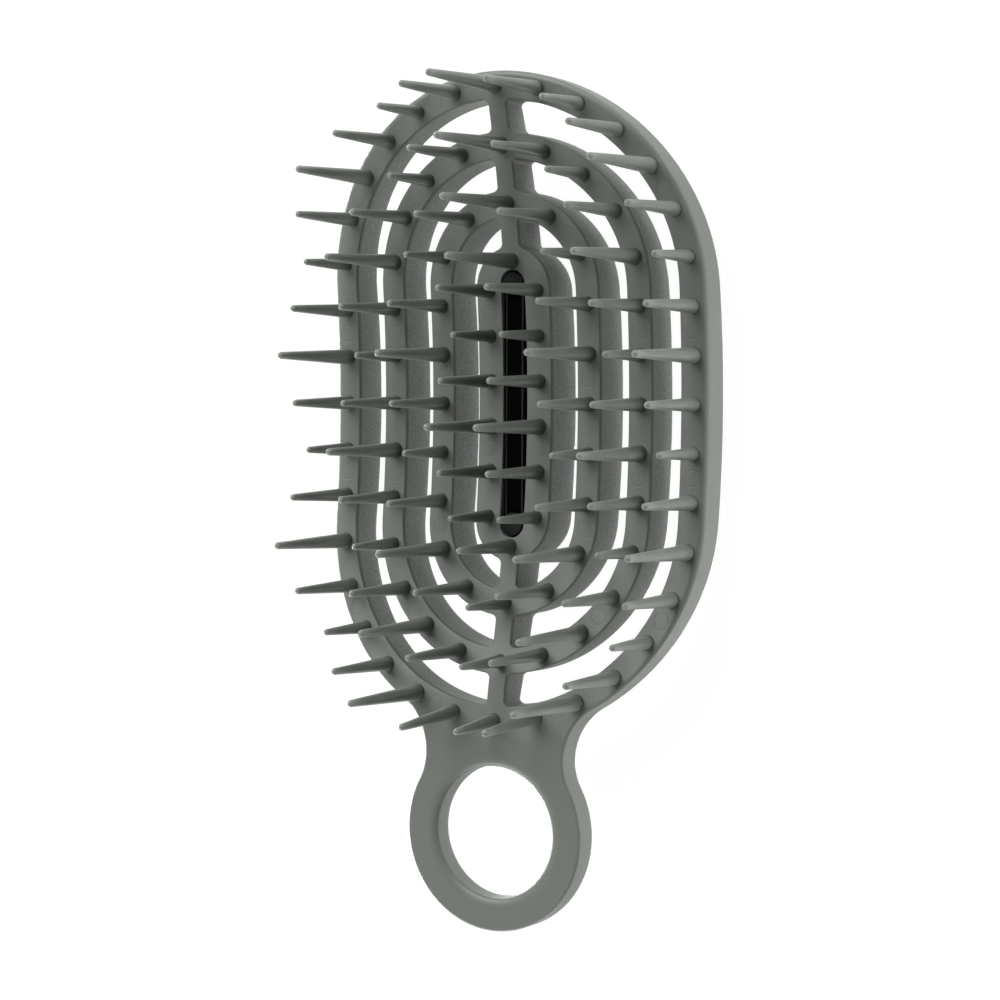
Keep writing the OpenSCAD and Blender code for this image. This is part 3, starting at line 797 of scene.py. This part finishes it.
def insert_piece(plate, sizes, name, material):
    """The insert: a bar with a flat polished top between two bevels, its edges finely rounded,
    two round grained pads at its ends, and the floor of the gap round them."""
    half = plate.slot_out - sizes.clearance
    low = sizes.back_recess - plate.s.plate_t
    bar_end = plate.slot_arc_y + plate.slot_out - sizes.end_len
    e, top, foot = sizes.bevel_edge_r, sizes.proud, sizes.proud - sizes.bevel
    strip, turn, core = 0.05 * MM, math.pi / 4, 0.02
    a = np.linspace(0, turn, 7)
    bevel_x = half - sizes.bevel - e * math.tan(turn / 2)
    edge = stacked(bevel_x + e * np.sin(a), top - e * (1 - np.cos(a)))
    right = chain(
        [[0.0, top], [bevel_x - strip, top]], edge, [edge[-1] + [strip, -strip]],
        [[half - 0.12 * MM, foot + 0.12 * MM], [half - 0.02 * MM, foot + 0.01 * MM],
         [half, foot - strip], [half, low]],
    )
    # The bevel's rounded edges take the painted highlight colour.
    painted_highlight = chain(np.zeros(2), np.ones(a.size), np.zeros(5))
    painted_highlight = chain(painted_highlight[:0:-1], painted_highlight)
    over = chain(right[:0:-1] * [-1, 1], right)
    loop = chain(over, over[::-1] * [1, 0] + [0, low])
    painted_highlight = chain(painted_highlight, 0 * painted_highlight)
    ys = np.linspace(-bar_end, bar_end, 12)
    bar = stacked(loop[:, 0], ys[:, None], loop[:, 1])
    edges = np.tile(stacked(0, painted_highlight, 0), (ys.size, 1))
    parts = [(bar, grid_faces(*bar.shape[:2], closed=False), edges)]
    floor = np.array([
        [core * half, low], [half, low], [half, -sizes.floor_depth],
        [core * half, -sizes.floor_depth],
    ])
    y_end = plate.slot_arc_y
    parts.append((*turned(floor, 0.0, y_end, 96), (0, 0, 0)))
    pad_r, f = plate.slot_out - sizes.pad_gap, 0.15 * MM
    pad_z = float(plate.front_z(0.0, y_end)) - sizes.pad_recess
    b = right_angle(4)
    pad = chain(
        [[core * pad_r, low], [pad_r, low]],
        stacked(pad_r - f + f * np.cos(b), pad_z - f + f * np.sin(b)),
        [[pad_r - 2 * f, pad_z], [0.5 * pad_r, pad_z], [core * pad_r, pad_z]],
    )
    parts += [(*turned(pad, y), (1, 0, 0)) for y in (-y_end, y_end)]
    points, quads, tints = joined(parts)
    make_piece(name, plate, points, quads, material, tints, marks=None)


def toned(rgb, times=1.0):
    """A colour made darker or lighter, with the fourth number that a node wants."""
    return (*(c * times for c in rgb), 1.0)


class Nodes:
    """The nodes of a material or of the world, and short ways to add to them."""

    def __init__(self, owner, cleared=False):
        owner.use_nodes = True
        self.owner, self.tree = owner, owner.node_tree
        if cleared:
            self.tree.nodes.clear()

    def plug(self, node, inputs):
        """Links each input of a node to a socket, or sets it to a value."""
        for key, value in inputs.items():
            if isinstance(value, bpy.types.NodeSocket):
                self.tree.links.new(value, node.inputs[key])
            else:
                node.inputs[key].default_value = value

    def add(self, kind, inputs=None, **settings):
        """Adds a node, sets its properties and its inputs, and gives its outputs."""
        node = self.tree.nodes.new(f"ShaderNode{kind}")
        for key, value in settings.items():
            setattr(node, key, value)
        self.plug(node, inputs or {})
        return node.outputs

    def calc(self, operation, a, b=None, clamp=False):
        """One step of arithmetic."""
        values = {0: a} if b is None else {0: a, 1: b}
        return self.add("Math", values, operation=operation, use_clamp=clamp)[0]

    def times(self, a, b):
        """a times b."""
        return self.calc("MULTIPLY", a, b)

    def plus(self, a, b):
        """a plus b."""
        return self.calc("ADD", a, b)

    def either(self, a, b):
        """1 if a or b is 1."""
        return self.calc("MAXIMUM", a, b)

    def mixed(self, factor, a, b):
        """Colour a at a factor of 0, b at 1, and a blend between."""
        return self.add("Mix", {"Factor": factor, 6: a, 7: b}, data_type="RGBA")[2]

    def noise(self, coords, scale, detail, roughness=0.5):
        """Cloudy noise from 0 to 1, with so many clouds to the metre."""
        inputs = {"Vector": coords, "Scale": scale, "Detail": detail, "Roughness": roughness}
        return self.add("TexNoise", inputs)[0]

    def mix_shaders(self, factor, a, b):
        """Shader a at a factor of 0 and b at 1."""
        return self.add("MixShader", {0: factor, 1: a[0], 2: b[0]})

    def seen_directly(self, path):
        """1 for the rays that see the white backdrop: camera, glossy and transmission rays."""
        seen = self.either(path["Is Camera Ray"], path["Is Glossy Ray"])
        return self.either(seen, path["Is Transmission Ray"])

    def surface(self, bump, inputs):
        """Sets the shader's inputs, bumps its surface, and gives the material."""
        shader = self.tree.nodes["Principled BSDF"]
        self.plug(shader, {**inputs, "Normal": self.add("Bump", bump)[0]})
        return self.owner


def plastic(name):
    """The nodes of a new material, the object's coordinates and the parts of the tint."""
    nodes = Nodes(bpy.data.materials.new(name))
    tint = nodes.add("Attribute", attribute_name="tint")["Vector"]
    return nodes, nodes.add("TexCoord")["Object"], nodes.add("SeparateXYZ", {0: tint})


def sage_plastic(looks, pins):
    """Moulded satin plastic: a soft mottle in colour and gloss, grained walls, a fine line of painted
    shade along the face's edges, painted shade in the corner round a pin's root, a painted highlight
    on its tip, and the faint rings that ejector pins leave."""
    nodes, coords, (grain, line, shade) = plastic("satin_sage")
    times, plus, mixed = nodes.times, nodes.plus, nodes.mixed
    cloud = nodes.noise(coords, 160.0, 3.0)
    fine = nodes.noise(coords, 2600.0, 2.0)
    rough = nodes.noise(coords, 2300.0, 3.0, 0.65)
    mark = nodes.add("UVMap", uv_map="marks")["UV"]
    away = nodes.add("VectorMath", {0: mark}, operation="LENGTH")["Value"]
    off = nodes.calc("ABSOLUTE", nodes.calc("SUBTRACT", away, pins.mark_d / 2 / MM))
    fading = {"Value": off, "From Min": 0.04, "From Max": 0.2, "To Min": 1.0, "To Max": 0.0}
    ring = times(nodes.add("MapRange", fading, interpolation_type="SMOOTHSTEP")[0], 0.55)
    speck = nodes.add("MapRange", {"Value": rough, "From Min": 0.4, "From Max": 0.62})[0]
    mottled = mixed(times(cloud, 0.22), toned(looks.sage), toned(looks.sage, 0.72))
    grained = mixed(speck, toned(looks.sage, 1.15), toned(looks.sage, 0.76))
    # Painted shade along the face's edges, standing in for the shade of a fine step there.
    edge_shaded = mixed(line, mixed(grain, mottled, grained), toned(looks.line))
    ringed = mixed(times(ring, 0.45), edge_shaded, toned(looks.line))
    shaded = mixed(shade, ringed, toned(looks.sage, 0.2))
    # A painted highlight on a pin's tip, where that tint is below 0.
    lighter = nodes.calc("MULTIPLY", shade, -1.0, clamp=True)
    gloss = plus(looks.face_rough, times(grain, looks.wall_rough - looks.face_rough))
    height = plus(times(times(rough, grain), looks.grain), times(fine, 0.1))
    height = nodes.calc("SUBTRACT", height, times(ring, 0.5))
    bump = {"Strength": 0.8, "Distance": 0.12 * MM, "Height": height}
    return nodes.surface(bump, {
        "Base Color": mixed(lighter, shaded, toned(looks.sage, 1.9)),
        "Roughness": plus(gloss, times(nodes.calc("SUBTRACT", cloud, 0.5), 0.1)),
        "Specular IOR Level": 0.5,
    })


def insert_black(looks):
    """Near-black plastic: polished on the bar, with a painted highlight along its bevel edges, and
    dull and grained on the round pads.
    """
    nodes, coords, (pad, edge, _) = plastic("glossy_black")
    times, plus, mixed = nodes.times, nodes.plus, nodes.mixed
    grit = nodes.noise(coords, 1900.0, 2.0)
    haze = nodes.noise(coords, 90.0, 2.0)
    speck = mixed(times(grit, 0.7), toned(looks.pad), toned(looks.pad, 0.4))
    # Painted highlight along the bar's bevel edges.
    bar = mixed(edge, toned(looks.ink), toned(looks.painted_highlight))
    bump = {"Strength": 0.5, "Distance": 0.08 * MM, "Height": times(grit, pad)}
    return nodes.surface(bump, {
        "Base Color": mixed(pad, bar, speck),
        "Roughness": plus(plus(0.07, times(haze, 0.05)), times(pad, 0.5)),
        "Specular IOR Level": 0.012,
    })


def satin_sage(scene):
    """The brush's plastic, made once."""
    made = bpy.data.materials.get("satin_sage")
    return made or sage_plastic(scene.brush_looks, scene.brush_pins)


# Each band's piece, and its first ejector mark's place in steps between pins from the far end.
BANDS = {
    "outer": ("outer_ring", 1.5),
    "second": ("second_ring", 2.5),
    "third": ("third_ring", 1.5),
    "centre": ("centre_island", 1.5),
}


class BRUSH_OT_bands(bpy.types.Operator):
    """Build the four concentric bands of the head"""

    bl_idname = "brush.bands"
    bl_label = "Bands"

    def execute(self, context):
        scene = context.scene
        plate, sage, pitch = Plate(scene), satin_sage(scene), scene.brush_pins.pitch
        for kind, (name, first_mark) in BANDS.items():
            band_piece(plate, name, kind, sage, first_mark, pitch)
        return {"FINISHED"}


class BRUSH_OT_bridges(bpy.types.Operator):
    """Build the six bridges that tie the bands together"""

    bl_idname = "brush.bridges"
    bl_label = "Bridges"

    def execute(self, context):
        plate, sage = Plate(context.scene), satin_sage(context.scene)
        for place, (inside, outside) in plate.gaps.items():
            for end, sign in (("top", 1), ("bottom", -1)):
                bridge_piece(plate, f"{end}_{place}_bridge", inside, outside, sign, sage)
        return {"FINISHED"}


class BRUSH_OT_tail(bpy.types.Operator):
    """Build the neck and the finger ring"""

    bl_idname = "brush.tail"
    bl_label = "Neck and finger ring"

    def execute(self, context):
        plate, sage = Plate(context.scene), satin_sage(context.scene)
        neck_piece(plate, "neck", sage)
        finger_ring_piece(plate, "finger_ring", sage)
        return {"FINISHED"}


class BRUSH_OT_pins(bpy.types.Operator):
    """Build the pins of the four bands"""

    bl_idname = "brush.pins"
    bl_label = "Pins"

    def execute(self, context):
        scene = context.scene
        plate, sage = Plate(scene), satin_sage(scene)
        for kind in plate.bands:
            pins_piece(plate, scene.brush_pins, kind, sage)
        return {"FINISHED"}


class BRUSH_OT_insert(bpy.types.Operator):
    """Build the dark bar in the slot"""

    bl_idname = "brush.insert"
    bl_label = "Insert"

    def execute(self, context):
        scene = context.scene
        black = insert_black(scene.brush_looks)
        insert_piece(Plate(scene), scene.brush_insert, "centre_insert", black)
        return {"FINISHED"}


# Each lamp's turn round the brush from its right side and its rise, in degrees, and its width
# and height in metres. Its power is the stage's property of the same name.
LAMPS = {
    "far": (118, 44, 0.9, 0.6),
    "near": (243, 15, 0.9, 0.5),
    "right": (14, -10, 1.2, 0.5),
    "far_right": (60, -15, 1.0, 0.5),
    "near_right": (330, 10, 1.0, 0.5),
    "under": (315, -80, 0.6, 0.6),
    "left_edge": (180, -33, 1.2, 0.6),
}
LAMP_DISTANCE = 0.9
LAMP_AIM = Vector((0.0, 0.0, 0.012))
FLOOR_REACH = 3.0
WHITE = (1.0, 1.0, 1.0)


def lamp(name, power, around, rise, width, height):
    """A soft rectangular lamp on a sphere round the brush, facing it. One below the floor is
    found by its shadow rays alone, because the floor lets only those through."""
    around, rise = math.radians(around), math.radians(rise)
    way = Vector((math.cos(around), math.sin(around), math.tan(rise)))
    place = LAMP_DISTANCE * math.cos(rise) * way
    light = bpy.data.lights.new(f"{name}_lamp", "AREA")
    light.shape, light.size, light.size_y, light.energy = "RECTANGLE", width, height, power
    light.cycles.use_multiple_importance_sampling = rise > 0
    obj = new_object(light.name, light)
    obj.location = place
    obj.rotation_euler = (LAMP_AIM - place).to_track_quat("-Z", "Y").to_euler()
    obj.visible_camera = False


class BRUSH_OT_stage(bpy.types.Operator):
    """Set up the floor, the lamps, the world and the camera"""

    bl_idname = "brush.stage"
    bl_label = "Studio"

    def execute(self, context):
        scene = context.scene
        stage, looks, plate = scene.brush_stage, scene.brush_looks, Plate(scene)
        self.floor(looks)
        for name, placing in LAMPS.items():
            lamp(name, getattr(stage, name), *placing)
        self.world(scene, stage.fill)
        self.camera(scene, stage, plate)
        scene.view_settings.view_transform = "Standard"
        return {"FINISHED"}

    def floor(self, looks):
        """A pale floor: white to the camera, with a part of its real shading kept for the
        shadow, and clear from below so that the back can be seen."""
        r, z = FLOOR_REACH, -0.1 * MM
        mesh = bpy.data.meshes.new("floor")
        mesh.from_pydata([(-r, -r, z), (r, -r, z), (r, r, z), (-r, r, z)], [], [(0, 1, 2, 3)])
        floor = new_object("floor", mesh)
        floor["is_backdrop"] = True
        material = bpy.data.materials.new("studio_floor")
        nodes = Nodes(material, cleared=True)
        path = nodes.add("LightPath")
        paint = nodes.add("BsdfDiffuse", {"Color": toned(looks.floor)})
        glow = nodes.add("Emission", {"Color": toned(WHITE), "Strength": 0.96})
        tone = nodes.add("BsdfDiffuse", {"Color": toned(WHITE, 0.12)})
        backdrop = nodes.add("AddShader", {0: glow[0], 1: tone[0]})
        shown = nodes.mix_shaders(nodes.seen_directly(path), paint, backdrop)
        below = nodes.add("NewGeometry")["Backfacing"]
        through = nodes.either(below, path["Is Shadow Ray"])
        both = nodes.mix_shaders(through, shown, nodes.add("BsdfTransparent"))
        nodes.add("OutputMaterial", {0: both[0]})
        mesh.materials.append(material)

    def world(self, scene, fill):
        """White where it is seen directly, and an even fill as light on the brush."""
        scene.world = bpy.data.worlds.new("studio")
        nodes = Nodes(scene.world, cleared=True)
        even = nodes.add("Background", {0: toned(WHITE), 1: fill})
        white = nodes.add("Background", {0: toned(WHITE), 1: 1.0})
        seen = nodes.seen_directly(nodes.add("LightPath"))
        nodes.add("OutputWorld", {0: nodes.mix_shaders(seen, even, white)[0]})

    def camera(self, scene, stage, plate):
        """The camera is turned to the right and the far end, rolled, and moved back and aside in
        its own frame, so that the brush is offset from the middle of the picture."""
        turn = Matrix.Rotation(stage.azimuth, 4, "Y") @ Matrix.Rotation(-stage.elevation, 4, "X")
        turn @= Matrix.Rotation(stage.roll, 4, "Z")
        moved = Matrix.Translation((-stage.shift_x, -stage.shift_y, stage.distance))
        data = bpy.data.cameras.new("camera")
        data.lens, data.sensor_width, data.sensor_fit = stage.lens, 36.0, "HORIZONTAL"
        data.clip_start, data.clip_end = 0.01, 20.0
        scene.camera = new_object("camera", data)
        scene.camera.matrix_world = Matrix.Translation(plate.placed(np.zeros(3))) @ turn @ moved


class BRUSH_PT_panel(bpy.types.Panel):
    """Lists the brush's sizes and the pieces to build"""

    bl_idname = "BRUSH_PT_panel"
    bl_label = "Detangling brush"
    bl_space_type = "VIEW_3D"
    bl_region_type = "UI"
    bl_category = "Brush"

    def draw(self, context):
        layout = self.layout
        for name, group in GROUPS:
            box = layout.box()
            box.label(text=name.replace("_", " ").capitalize())
            for key in group.__annotations__:
                box.prop(getattr(context.scene, name), key)
        for operator in OPERATORS:
            layout.operator(operator.bl_idname)


OPERATORS = (
    BRUSH_OT_bands, BRUSH_OT_bridges, BRUSH_OT_tail, BRUSH_OT_pins, BRUSH_OT_insert,
    BRUSH_OT_stage,
)


def register():
    """Registers the sizes, the operators and the panel."""
    for name, group in GROUPS:
        bpy.utils.register_class(group)
        setattr(bpy.types.Scene, name, PointerProperty(type=group))
    for operator in OPERATORS:
        bpy.utils.register_class(operator)
    bpy.utils.register_class(BRUSH_PT_panel)


def unregister():
    """Undoes register, last first."""
    bpy.utils.unregister_class(BRUSH_PT_panel)
    for operator in reversed(OPERATORS):
        bpy.utils.unregister_class(operator)
    for name, group in reversed(GROUPS):
        delattr(bpy.types.Scene, name)
        bpy.utils.unregister_class(group)


def main():
    """Builds the stage and every piece, and works out the CAD model's box and the built pieces' box.
    """
    register()
    for name in ("stage", "bands", "bridges", "tail", "pins", "insert"):
        getattr(bpy.ops.brush, name)()
    plain = lambda box: [list(corner) for corner in box]
    {"cad": plain(CAD_BOX), "visual": plain(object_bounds())}


if __name__ == "__main__":
    main()
